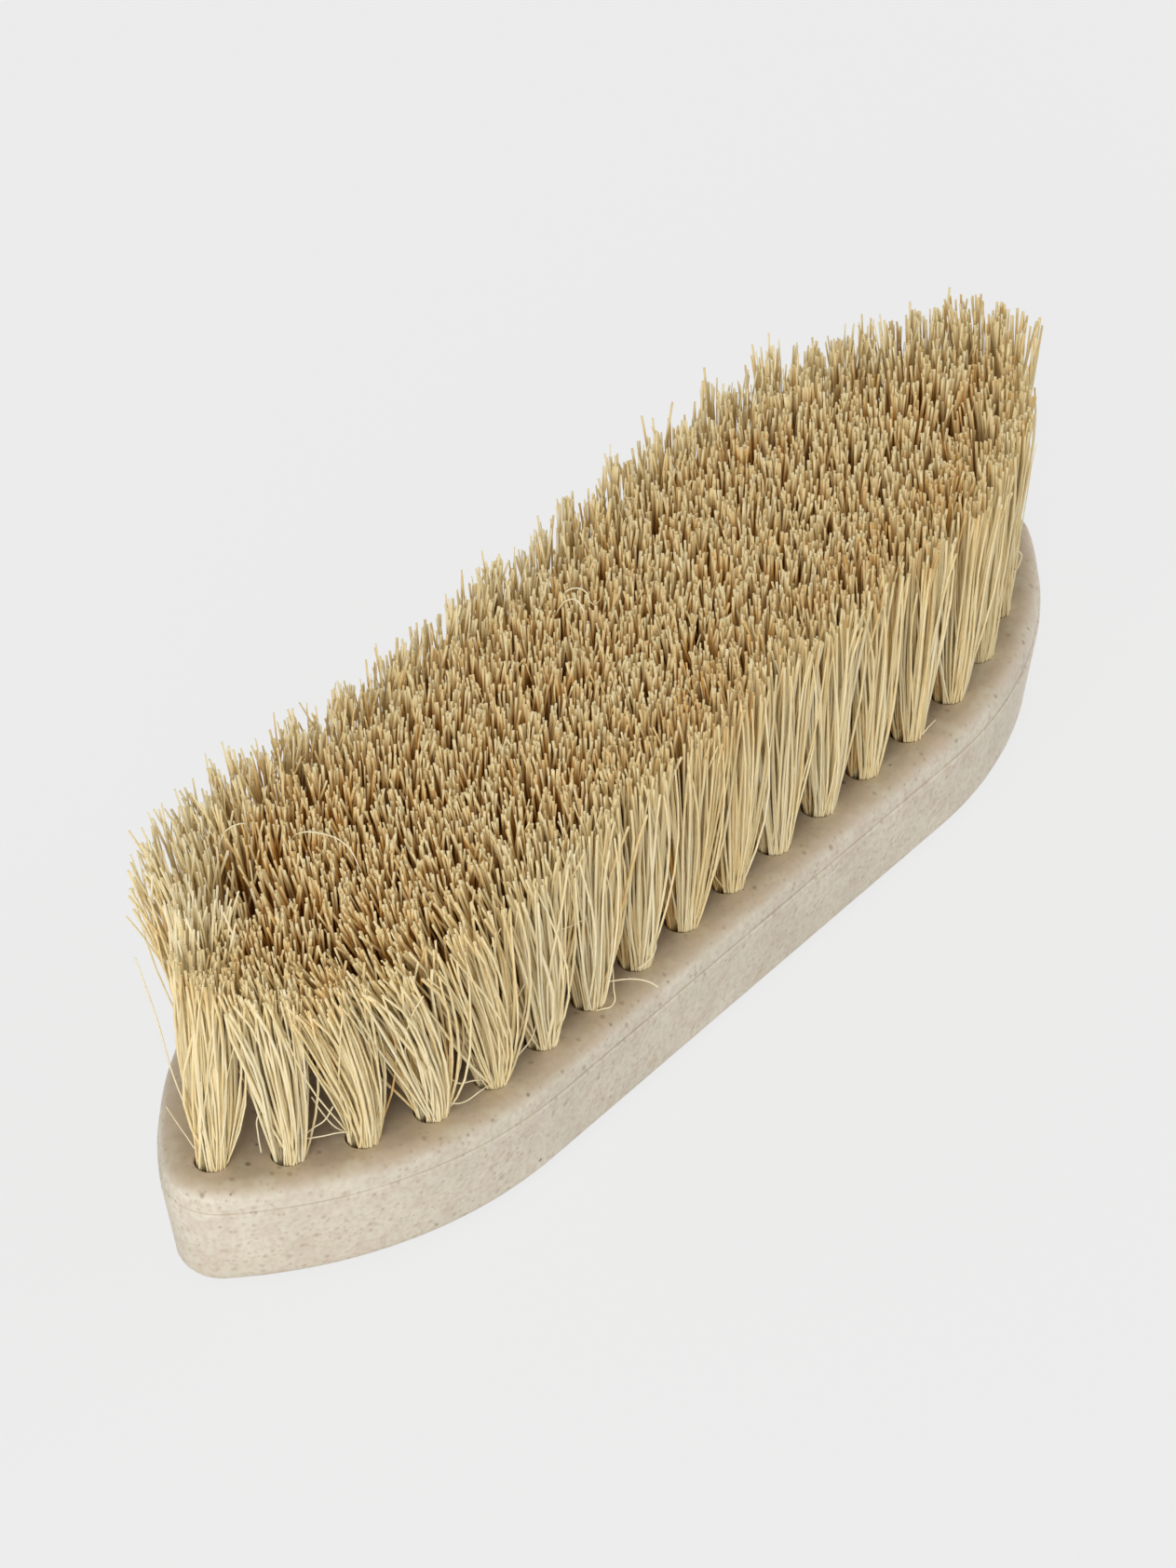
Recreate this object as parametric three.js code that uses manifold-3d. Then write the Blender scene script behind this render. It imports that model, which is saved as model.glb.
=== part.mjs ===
// Mane and tail brush, lying on its back with the bristles up.
// The boat-shaped block is moulded in two halves: a drilled brush plate, and a back that closes it.
// Tufts of plant fibre are doubled over wires that run under the plate, one wire to a row of holes.
// Millimetres. +X runs along the brush, +Z is up, and the origin is the centre of the flat back.

import * as THREE from "three";
import { mergeGeometries, mergeVertices } from "three/addons/utils/BufferGeometryUtils.js";
import Module from "manifold-3d";

const wasm = await Module();
wasm.setup();

// Block
const BLOCK_LENGTH = 210;
const BLOCK_WIDTH = 58;
const STRAIGHT_SIDE = 100; // straight part of each long side
const TIP_RADIUS = 9;
const BACK_THICKNESS = 16; // flat back to seam
const PLATE_THICKNESS = 4.5; // seam to bristle face
const FACE_ROUND = 3; // rounded edge of the bristle face
const BACK_ROUND = 3.5; // rounded edge of the back
const SIDE_DRAFT = 1.8; // how far the side draws in from the seam to the rounded edge of the back
const SEAM_STEP = 0.3; // the plate stands in from the back by this much, all round

// Holes
const HOLE_DIAMETER = 5.2;
const EDGE_MARGIN = 7; // edge of the block to the centres of the outer holes
const HOLE_PITCH = 11.6; // wanted along a row; the outer row rounds it to a whole number of holes
const CLOSEST_HOLES = 9.5; // least distance from an inner hole to one of the outer row
const INNER_ROWS = ["front", "centre", "rear"]; // evenly spaced between the two long sides

// Tufts, each drawn as strands that stand for about twenty fibres and widen as the fibres fan out
const BRISTLE_LENGTH = 39.5; // bristle face to tips
const TIP_UNEVENNESS = 1.5; // how far tips stand above or below that
const STRANDS_PER_SIDE = 3; // on each side of the wire
const STRAND_SHARE = 0.24; // radius of a strand in its hole, as a share of the room there
const ROOT_THICKNESS = 2; // strip that the doubled ends of one row are fused into

// Draw wires, of flat section, set on edge
const WIRE_THICKNESS = 0.6;
const WIRE_HEIGHT = 1.6;

const CLEARANCE = 0.3;
const ROUND_STEPS = 4; // facets of a rounded edge
const TIP_STEPS = 4; // facets of half a tip of the outline
const SHOULDER_STEPS = 8; // facets of one shoulder of the outline
const HOLE_SIDES = 10;
const STRAND_SIDES = 3;

// Heights that several pieces share
const seamZ = BACK_THICKNESS;
const faceZ = seamZ + PLATE_THICKNESS;
const wireZ = seamZ - CLEARANCE - WIRE_HEIGHT;
const rootTopZ = wireZ - CLEARANCE;
const rootZ = rootTopZ - ROOT_THICKNESS;

const strawComposite = { color: "#cdc3b3", roughness: 0.55 };
const plantFibre = { color: "#d8c48f", roughness: 0.7 };
const steelWire = { color: "#a9a9a6", roughness: 0.35, metalness: 1 };

// Outline of the block, drawn in by inset. The side is straight, a shoulder arc leaves it smoothly, and a
// tip arc closes the end. Once the inset has used up the tip's radius, the shoulders meet in a point.
function outline(inset) {
  const halfWidth = BLOCK_WIDTH / 2;
  const tipReach = (BLOCK_LENGTH - STRAIGHT_SIDE) / 2 - TIP_RADIUS; // from the straight to the tip's centre
  const rise = halfWidth - TIP_RADIUS;
  const shoulderRadius = (tipReach ** 2 + halfWidth ** 2 - TIP_RADIUS ** 2) / (2 * rise);
  const shoulderDrop = shoulderRadius - halfWidth; // how far past the long axis the shoulder's centre lies
  const tip = TIP_RADIUS - inset;
  const shoulder = shoulderRadius - inset;
  const meeting = tip > 0 ? Math.atan2(shoulderDrop, tipReach) : Math.asin(shoulderDrop / shoulder);

  const shoulderArc = new THREE.EllipseCurve(
    STRAIGHT_SIDE / 2, -shoulderDrop, shoulder, shoulder, meeting, Math.PI / 2,
  );
  const quarter = shoulderArc.getPoints(SHOULDER_STEPS);
  if (tip > 0) {
    const tipArc = new THREE.EllipseCurve(STRAIGHT_SIDE / 2 + tipReach, 0, tip, tip, 0, meeting);
    quarter.unshift(...tipArc.getPoints(TIP_STEPS).slice(0, -1));
  }
  const mirrored = (sx, sy) => quarter.map((p) => new THREE.Vector2(sx * p.x, sy * p.y));
  return [
    ...quarter,
    ...mirrored(-1, 1).reverse(),
    ...mirrored(-1, -1).slice(1),
    ...mirrored(1, -1).reverse().slice(0, -1),
  ];
}

// Closed solid through the outline at several levels, lowest first
function stackOutlines(levels) {
  const rings = levels.map(({ inset, z }) => outline(inset).map((p) => [p.x, p.y, z]));
  const count = rings[0].length;
  const lid = THREE.ShapeUtils.triangulateShape(outline(levels[0].inset), []);
  const top = (rings.length - 1) * count;
  const index = [];
  lid.forEach(([a, b, c]) => index.push(a, c, b, top + a, top + b, top + c));
  for (let level = 0; level < rings.length - 1; level++) {
    for (let i = 0; i < count; i++) {
      const a = level * count + i;
      const b = level * count + ((i + 1) % count);
      index.push(a, b, b + count, a, b + count, a + count);
    }
  }
  return new THREE.BufferGeometry()
    .setAttribute("position", new THREE.Float32BufferAttribute(rings.flat(2), 3))
    .setIndex(index);
}

// Levels of a rounded edge of radius r: from the side, at sideInset and sideZ, over to the flat face
function roundedEdge(sideInset, sideZ, r, direction) {
  return Array.from({ length: ROUND_STEPS + 1 }, (_, i) => {
    const turn = (Math.PI / 2) * (i / ROUND_STEPS);
    return { inset: sideInset + r * (1 - Math.cos(turn)), z: sideZ + direction * r * Math.sin(turn) };
  });
}

function solidFrom(geometry) {
  const bare = new THREE.BufferGeometry()
    .setAttribute("position", geometry.getAttribute("position"))
    .setIndex(geometry.getIndex());
  const merged = mergeVertices(bare);
  const triVerts = new Uint32Array(merged.index.array);
  return new wasm.Manifold(
    new wasm.Mesh({ numProp: 3, vertProperties: merged.attributes.position.array, triVerts }),
  );
}

function geometryFrom(solid) {
  const { vertProperties, triVerts } = solid.getMesh();
  return new THREE.BufferGeometry()
    .setAttribute("position", new THREE.Float32BufferAttribute(vertProperties, 3))
    .setIndex([...triVerts]);
}

// Plain upright solid of a flat shape
function upright(shape, z, height) {
  return new THREE.ExtrudeGeometry(shape, { depth: height, bevelEnabled: false }).translate(0, 0, z);
}

// Holes: an outer row that follows the edge all round, and straight inner rows.
// A tuft has its hole's centre and the direction in which its row's wire runs there.
function outerRow() {
  const wire = new THREE.Path(outline(EDGE_MARGIN)).closePath();
  const quarters = Math.round(wire.getLength() / HOLE_PITCH / 4);
  const count = 4 * quarters; // so that a tuft stands at each tip and at the middle of each side
  const centres = wire.getSpacedPoints(count).slice(0, count);
  const tufts = centres.map((centre, i) => {
    const last = centres[(i + count - 1) % count];
    const next = centres[(i + 1) % count];
    return { centre, along: next.clone().sub(last).angle() };
  });
  return { tufts, wire, pitch: wire.getLength() / count };
}

const outer = outerRow();
const rowSpacing = (BLOCK_WIDTH - 2 * EDGE_MARGIN) / (INNER_ROWS.length + 1);

// Every second inner row is staggered by half a pitch, and each ends before it crowds the outer row
function innerRow(number) {
  const y = (number + 1) * rowSpacing - (BLOCK_WIDTH / 2 - EDGE_MARGIN);
  const staggered = number % 2 === 0;
  const isClear = (p) => outer.tufts.every((t) => t.centre.distanceTo(p) >= CLOSEST_HOLES);
  const tufts = [];
  for (let x = staggered ? outer.pitch / 2 : 0; isClear(new THREE.Vector2(x, y)); x += outer.pitch) {
    const mirrored = x > 0 ? [-x, x] : [0];
    mirrored.forEach((place) => tufts.push({ centre: new THREE.Vector2(place, y), along: 0 }));
  }
  const halfLength = Math.max(...tufts.map((t) => t.centre.x));
  const wire = new THREE.LineCurve(new THREE.Vector2(-halfLength, y), new THREE.Vector2(halfLength, y));
  return { tufts, wire, y, halfLength };
}

const inner = INNER_ROWS.map((_, number) => innerRow(number));
const allTufts = [outer, ...inner].flatMap((row) => row.tufts);

// Band of the given width along a row: a ring for the outer row, a slot with round ends for an inner one
function outerBand(width) {
  const band = new THREE.Shape(outline(EDGE_MARGIN - width / 2));
  band.holes.push(new THREE.Path(outline(EDGE_MARGIN + width / 2)));
  return band;
}

function innerBand({ y, halfLength }, width) {
  const band = new THREE.Shape();
  band.absarc(halfLength, y, width / 2, -Math.PI / 2, Math.PI / 2);
  band.absarc(-halfLength, y, width / 2, Math.PI / 2, (3 * Math.PI) / 2);
  return band.closePath();
}

const rowBands = (width) => [outerBand(width), ...inner.map((row) => innerBand(row, width))];

// Brush plate: rounded at the bristle face, with a hole for every tuft
function brushPlate() {
  const straightTop = faceZ - FACE_ROUND;
  const blank = solidFrom(
    stackOutlines([{ inset: SEAM_STEP, z: seamZ }, ...roundedEdge(SEAM_STEP, straightTop, FACE_ROUND, 1)]),
  );
  const radius = HOLE_DIAMETER / 2;
  const drill = new THREE.CylinderGeometry(radius, radius, 2 * PLATE_THICKNESS, HOLE_SIDES);
  drill.rotateX(Math.PI / 2).translate(0, 0, (seamZ + faceZ) / 2);
  const drills = allTufts.map(({ centre }) => drill.clone().translate(centre.x, centre.y, 0));
  return geometryFrom(blank.subtract(solidFrom(mergeGeometries(drills))));
}

// The strip of roots of a row is as wide as the row's holes
const rootWidth = HOLE_DIAMETER;

// Back: flat underneath, drawn in below the seam, with a groove for each strip of roots
function blockBack() {
  const edge = roundedEdge(SIDE_DRAFT, BACK_ROUND, BACK_ROUND, -1).reverse();
  const blank = solidFrom(stackOutlines([...edge, { inset: 0, z: seamZ }]));
  const grooves = rowBands(rootWidth + 2 * CLEARANCE).map((band) => upright(band, rootZ, BACK_THICKNESS));
  return geometryFrom(grooves.reduce((body, groove) => body.subtract(solidFrom(groove)), blank));
}

// Strands stand in a ring inside their hole, clear of its wall and of the wire through the middle
const holeRoom = HOLE_DIAMETER / 2 - CLEARANCE;
const strandRadius = STRAND_SHARE * holeRoom;
const strandRing = holeRoom - strandRadius;
const wireRoom = WIRE_THICKNESS / 2 + CLEARANCE;
const strandFan = Math.acos((wireRoom + strandRadius) / strandRing); // from the middle strand to the last

// They fan out until the tips of the two closest tufts would meet
function fanOut() {
  let closest = Infinity;
  allTufts.forEach((a, i) => {
    allTufts.slice(i + 1).forEach((b) => {
      closest = Math.min(closest, a.centre.distanceTo(b.centre));
    });
  });
  return (closest / 2 - CLEARANCE) / holeRoom;
}

const fan = fanOut();

// One strand: upright through the hole, then slanting outwards to its tip
function strand(centre, direction, tipZ) {
  const levels = [
    { z: rootTopZ - ROOT_THICKNESS / 2, scale: 1 },
    { z: faceZ, scale: 1 },
    { z: tipZ, scale: fan },
  ];
  const position = [];
  levels.forEach(({ z, scale }) => {
    for (let side = 0; side < STRAND_SIDES; side++) {
      const turn = direction + (side * 2 * Math.PI) / STRAND_SIDES;
      const x = strandRing * Math.cos(direction) + strandRadius * Math.cos(turn);
      const y = strandRing * Math.sin(direction) + strandRadius * Math.sin(turn);
      position.push(centre.x + scale * x, centre.y + scale * y, z);
    }
  });
  const index = [];
  for (let level = 0; level < levels.length - 1; level++) {
    for (let side = 0; side < STRAND_SIDES; side++) {
      const a = level * STRAND_SIDES + side;
      const b = level * STRAND_SIDES + ((side + 1) % STRAND_SIDES);
      index.push(a, b, b + STRAND_SIDES, a, b + STRAND_SIDES, a + STRAND_SIDES);
    }
  }
  const tip = (levels.length - 1) * STRAND_SIDES;
  for (let side = 1; side < STRAND_SIDES - 1; side++) {
    index.push(0, side + 1, side, tip, tip + side, tip + side + 1);
  }
  return new THREE.BufferGeometry()
    .setAttribute("position", new THREE.Float32BufferAttribute(position, 3))
    .setIndex(index);
}

// All tufts of one row, fused at their roots to the strip that lies in the row's groove.
// Where the wire turns sharply round a tip, the strands that it would run through are left out.
function tuftRow({ tufts, wire }, rootBand) {
  const wirePoints = wire.getSpacedPoints(Math.ceil(wire.getLength() / CLEARANCE));
  const leastGap = strandRadius + WIRE_THICKNESS / 2 + CLEARANCE / 2;
  const middle = (STRANDS_PER_SIDE - 1) / 2;
  const strands = [];
  tufts.forEach(({ centre, along }) => {
    [Math.PI / 2, -Math.PI / 2].forEach((side) => {
      for (let i = 0; i < STRANDS_PER_SIDE; i++) {
        const direction = along + side + (strandFan * (i - middle)) / Math.max(middle, 1);
        const foot = new THREE.Vector2(Math.cos(direction), Math.sin(direction));
        foot.multiplyScalar(strandRing).add(centre);
        if (wirePoints.some((point) => point.distanceTo(foot) < leastGap)) continue;
        const uneven = TIP_UNEVENNESS * Math.sin(strands.length ** 2);
        strands.push(strand(centre, direction, faceZ + BRISTLE_LENGTH + uneven));
      }
    });
  });
  const roots = solidFrom(upright(rootBand, rootZ, ROOT_THICKNESS));
  return geometryFrom(roots.add(solidFrom(mergeGeometries(strands))));
}

const brush = new THREE.Group();

function place(name, geometry, finish) {
  geometry.computeVertexNormals();
  const mesh = new THREE.Mesh(geometry, new THREE.MeshStandardMaterial(finish));
  mesh.name = name;
  brush.add(mesh);
}

place("brush_plate", brushPlate(), strawComposite);
place("block_back", blockBack(), strawComposite);

const rowNames = ["outer", ...INNER_ROWS];
const rootBands = rowBands(rootWidth);
const wireBands = rowBands(WIRE_THICKNESS);
[outer, ...inner].forEach((row, number) => {
  place(`${rowNames[number]}_row_tufts`, tuftRow(row, rootBands[number]), plantFibre);
  place(`${rowNames[number]}_row_wire`, upright(wireBands[number], wireZ, WIRE_HEIGHT), steelWire);
});

export default brush;
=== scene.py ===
# Mane and tail brush, lying on its back with the bristles up.
# A boat-shaped block of straw composite, moulded in two halves, is set with tufts of stiff plant fibre.
from math import asin, atan2, cos, pi, radians, sin, sqrt

import bmesh
import bpy
import numpy as np
from mathutils import Matrix, Vector


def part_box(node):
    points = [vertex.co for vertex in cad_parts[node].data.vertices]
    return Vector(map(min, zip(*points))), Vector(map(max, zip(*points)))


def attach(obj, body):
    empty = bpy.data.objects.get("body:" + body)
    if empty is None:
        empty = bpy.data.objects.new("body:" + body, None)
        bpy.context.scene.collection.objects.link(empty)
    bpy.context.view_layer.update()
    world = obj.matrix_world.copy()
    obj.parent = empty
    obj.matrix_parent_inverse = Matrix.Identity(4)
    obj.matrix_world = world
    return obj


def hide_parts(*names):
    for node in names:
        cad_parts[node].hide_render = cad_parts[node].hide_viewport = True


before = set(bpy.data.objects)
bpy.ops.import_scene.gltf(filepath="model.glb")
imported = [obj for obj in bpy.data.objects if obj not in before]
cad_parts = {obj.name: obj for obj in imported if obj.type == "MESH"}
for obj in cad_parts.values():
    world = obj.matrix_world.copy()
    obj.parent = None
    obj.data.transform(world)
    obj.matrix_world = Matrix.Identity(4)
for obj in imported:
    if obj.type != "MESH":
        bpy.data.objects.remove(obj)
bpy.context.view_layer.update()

# Back of the block
# The lower half of the block, moulded from crushed straw in a pale binder. It is flat underneath, its side
# draws in a little towards the flat, and grooves in its top take the doubled ends of the tufts.
mm = 0.001
back_low, back_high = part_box("block_back")
half_length = back_high.x
half_width = back_high.y
seam = back_high.z
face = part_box("brush_plate")[1].z

straight_side = 100 * mm
tip_radius = 9 * mm
tip_reach = half_length - straight_side / 2 - tip_radius  # from the straight side to the tip's centre
tip_centre_x = straight_side / 2 + tip_reach
shoulder_radius = (tip_reach**2 + half_width**2 - tip_radius**2) / (2 * (half_width - tip_radius))
shoulder_drop = shoulder_radius - half_width  # of the shoulder's centre, past the middle of the block
tip_angle = atan2(shoulder_drop, tip_reach)  # from the long axis to where tip and shoulder meet
shoulder_steps = 36
tip_steps = 14

back_round = 3.5 * mm
side_draft = 1.8 * mm
seam_round = 0.5 * mm

row_inset = 7 * mm  # edge of the block to the middle of the outer row
groove_width = 5.8 * mm
groove_floor = 11.8 * mm
inner_rows = ("front", "centre", "rear")
down = (0, 0, -1)
merge_gap = 0.001 * mm


def new_edges(bm, known):
    """Edges made since the known ones."""
    return [edge for edge in bm.edges if edge not in known]


def ends_of(edges):
    """Vertices of edges, each once, in an order that is the same on every run."""
    return list(dict.fromkeys(vertex for edge in edges for vertex in edge.verts))


def mirror_edges(bm, known, axis):
    """Mirrors the edges made since the known ones, and joins them where they meet."""
    made = new_edges(bm, known)
    bmesh.ops.mirror(bm, geom=ends_of(made) + made, matrix=Matrix(), merge_dist=merge_gap, axis=axis)


def outline(bm, inset, z):
    """Loop of the block's outline, drawn in by inset: straight sides, round shoulders and two tips."""
    known = set(bm.edges)
    tip = tip_radius - inset
    shoulder = shoulder_radius - inset
    meeting = tip_angle if tip > 0 else asin(shoulder_drop / shoulder)
    middle = bm.verts.new((0, half_width - inset, z))
    corner = bmesh.ops.extrude_vert_indiv(bm, verts=[middle])["verts"]
    bmesh.ops.translate(bm, verts=corner, vec=(straight_side / 2, 0, 0))
    shoulder_centre = (straight_side / 2, -shoulder_drop, z)
    end = bmesh.ops.spin(
        bm, geom=corner, cent=shoulder_centre, axis=down, angle=pi / 2 - meeting, steps=shoulder_steps
    )["geom_last"]
    if tip > 0:
        tip_centre = (tip_centre_x, 0, z)
        bmesh.ops.spin(bm, geom=end, cent=tip_centre, axis=down, angle=meeting, steps=tip_steps)
    mirror_edges(bm, known, "X")
    mirror_edges(bm, known, "Y")
    return new_edges(bm, known)


def rounded_edge(inset, z, radius, direction, steps=6):
    """Levels of a rounded edge, from the side over to the flat; direction 1 is upwards and -1 downwards."""
    turns = [pi / 2 * i / steps for i in range(steps + 1)]
    return [(inset + radius * (1 - cos(t)), z + direction * radius * sin(t)) for t in turns]


def loft(bm, levels):
    """Skin through the outline at several levels of inset and height; gives its lowest and highest loop."""
    loops = [outline(bm, inset, z) for inset, z in levels]
    for lower, upper in zip(loops, loops[1:]):
        bmesh.ops.bridge_loops(bm, edges=lower + upper)
    return loops[0], loops[-1]


def slot_loop(bm, y, half_run, width, z, steps=12):
    """Loop of a straight slot with round ends, along X."""
    known = set(bm.edges)
    middle = bm.verts.new((0, y + width / 2, z))
    corner = bmesh.ops.extrude_vert_indiv(bm, verts=[middle])["verts"]
    bmesh.ops.translate(bm, verts=corner, vec=(half_run, 0, 0))
    end = bmesh.ops.spin(
        bm, geom=corner, cent=(half_run, y, z), axis=down, angle=pi, steps=steps
    )["geom_last"]
    last = bmesh.ops.extrude_vert_indiv(bm, verts=end)["verts"]
    bmesh.ops.translate(bm, verts=last, vec=(-half_run, 0, 0))
    mirror_edges(bm, known, "X")
    return new_edges(bm, known)


def deepen(bm, loops, depth):
    """Walls that go straight down from loops; gives the edges at their feet."""
    made = bmesh.ops.extrude_edge_only(bm, edges=[edge for loop in loops for edge in loop])["geom"]
    feet = [item for item in made if isinstance(item, bmesh.types.BMVert)]
    bmesh.ops.translate(bm, verts=feet, vec=(0, 0, -depth))
    feet = set(feet)
    return [item for item in made if isinstance(item, bmesh.types.BMEdge) and feet.issuperset(item.verts)]


def fill_flat(bm, edges):
    """Flat face between loops that lie one inside the other."""
    bmesh.ops.triangle_fill(bm, edges=edges, use_beauty=True, normal=(0, 0, 1))


def add_object(name, data):
    """Object of a mesh, curve, lamp or camera, put in the scene."""
    made = bpy.data.objects.new(name, data)
    bpy.context.scene.collection.objects.link(made)
    return made


def add_piece(name, bm, crease=40):
    """Object of a finished bmesh, faces turned outwards, shaded smooth up to the crease in degrees."""
    bmesh.ops.remove_doubles(bm, verts=bm.verts, dist=merge_gap)
    bmesh.ops.recalc_face_normals(bm, faces=bm.faces)
    mesh = bpy.data.meshes.new(name)
    bm.to_mesh(mesh)
    bm.free()
    mesh.shade_smooth()
    mesh.set_sharp_from_angle(angle=radians(crease))
    return add_object(name, mesh)


def keep_flats_flat(piece):
    """Keeps the shading of rounded edges from running over the flat faces beside them."""
    weighted = piece.modifiers.new("flat faces stay flat", "WEIGHTED_NORMAL")
    weighted.keep_sharp = True


def row_reach(row):
    """Y of an inner row, and the X of its last hole, from the wire that lies in it."""
    low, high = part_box(f"{row}_row_wire")
    return (low.y + high.y) / 2, high.x - (high.y - low.y) / 2


bm = bmesh.new()
back_levels = rounded_edge(side_draft, back_round, back_round, -1)[::-1]
back_levels += rounded_edge(0, seam - seam_round, seam_round, 1, steps=3)
lowest, highest = loft(bm, back_levels)
grooves = [outline(bm, row_inset + side * groove_width / 2, seam) for side in (-1, 1)]
for row in inner_rows:
    row_y, row_end = row_reach(row)
    grooves.append(slot_loop(bm, row_y, row_end, groove_width, seam))
groove_feet = deepen(bm, grooves, seam - groove_floor)
fill_flat(bm, lowest)
fill_flat(bm, groove_feet)
fill_flat(bm, highest + [edge for loop in grooves for edge in loop])
back = add_piece("block_back_shell", bm)
keep_flats_flat(back)


def colour(red, green, blue):
    """A colour as read off a screen, 0 to 255, in the linear values that shaders take."""
    def linear(value):
        value = value / 255
        return value / 12.92 if value <= 0.04045 else ((value + 0.055) / 1.055) ** 2.4

    return linear(red), linear(green), linear(blue), 1


def add_node(tree, kind, inputs=None, **settings):
    """New node with its settings; an input is set to a value, or linked where it is given a socket."""
    node = tree.nodes.new(kind)
    for name, value in settings.items():
        setattr(node, name, value)
    for name, value in (inputs or {}).items():
        if isinstance(value, bpy.types.NodeSocket):
            tree.links.new(value, node.inputs[name])
        else:
            node.inputs[name].default_value = value
    return node


def mix(tree, share, one, other):
    """One colour, with a share of the other."""
    node = add_node(tree, "ShaderNodeMix", {0: share, 6: one, 7: other}, data_type="RGBA")
    return node.outputs[2]


def math(tree, operation, one, other=0):
    """Result of an operation on one value or two."""
    return add_node(tree, "ShaderNodeMath", {0: one, 1: other}, operation=operation).outputs[0]


def ranged(tree, value, low, high, to_low=0, to_high=1):
    """Value brought from one range into another, and held at the ends."""
    inputs = {"Value": value, "From Min": low, "From Max": high, "To Min": to_low, "To Max": to_high}
    return add_node(tree, "ShaderNodeMapRange", inputs).outputs["Result"]


def cloudy(tree, place, scale, detail):
    """Soft noise, in features per metre."""
    inputs = {"Vector": place, "Scale": scale, "Detail": detail}
    return add_node(tree, "ShaderNodeTexNoise", inputs).outputs["Fac"]


def stretched(tree, place, scale, turn=(0, 0, 0)):
    """Place turned and scaled by axis, so that a pattern on it runs one way."""
    inputs = {"Vector": place, "Rotation": turn, "Scale": scale}
    return add_node(tree, "ShaderNodeMapping", inputs).outputs["Vector"]


def add_bump(tree, shader, height, strength, distance):
    """Unevenness of a surface, too fine to be modelled."""
    inputs = {"Height": height, "Strength": strength, "Distance": distance}
    bump = add_node(tree, "ShaderNodeBump", inputs)
    tree.links.new(bump.outputs["Normal"], shader.inputs["Normal"])


def new_material(name):
    """New material with one shader, and the tree that it stands in."""
    material = bpy.data.materials.new(name)
    material.use_nodes = True
    tree = material.node_tree
    tree.nodes.clear()
    shader = add_node(tree, "ShaderNodeBsdfPrincipled")
    output = add_node(tree, "ShaderNodeOutputMaterial")
    tree.links.new(shader.outputs[0], output.inputs["Surface"])
    return material, tree, shader


def new_group(name, inputs, outputs):
    """New group of nodes, with the sockets inside it that give its inputs and that take its outputs."""
    group = bpy.data.node_groups.new(name, "ShaderNodeTree")
    for way, sockets in (("INPUT", inputs), ("OUTPUT", outputs)):
        for socket, kind in sockets.items():
            group.interface.new_socket(socket, in_out=way, socket_type=f"NodeSocket{kind}")
    given = group.nodes.new("NodeGroupInput").outputs
    wanted = group.nodes.new("NodeGroupOutput").inputs
    return group, given, wanted


def fleck_group():
    """Flecks scattered in a material: a mask of specks, some of the cells of a pattern holding one each."""
    group, given, wanted = new_group(
        "scattered flecks",
        {"Place": "Vector", "Cells per metre": "Float", "Share of cells": "Float", "Size in cells": "Float"},
        {"Mask": "Float"},
    )
    inputs = {"Vector": given["Place"], "Scale": given["Cells per metre"]}
    cell = add_node(group, "ShaderNodeTexVoronoi", inputs)
    chance = add_node(group, "ShaderNodeSeparateColor", {"Color": cell.outputs["Color"]}).outputs
    holds = math(group, "LESS_THAN", chance["Red"], given["Share of cells"])
    reach = math(group, "MULTIPLY", given["Size in cells"], ranged(group, chance["Green"], 0, 1, 0.45, 1))
    core = math(group, "MULTIPLY", reach, 0.4)
    spot = ranged(group, cell.outputs["Distance"], reach, core)
    strength = ranged(group, chance["Blue"], 0, 1, 0.4, 1)
    shown = math(group, "MULTIPLY", holds, math(group, "MULTIPLY", spot, strength))
    group.links.new(shown, wanted["Mask"])
    return group


flecks = fleck_group()


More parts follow.
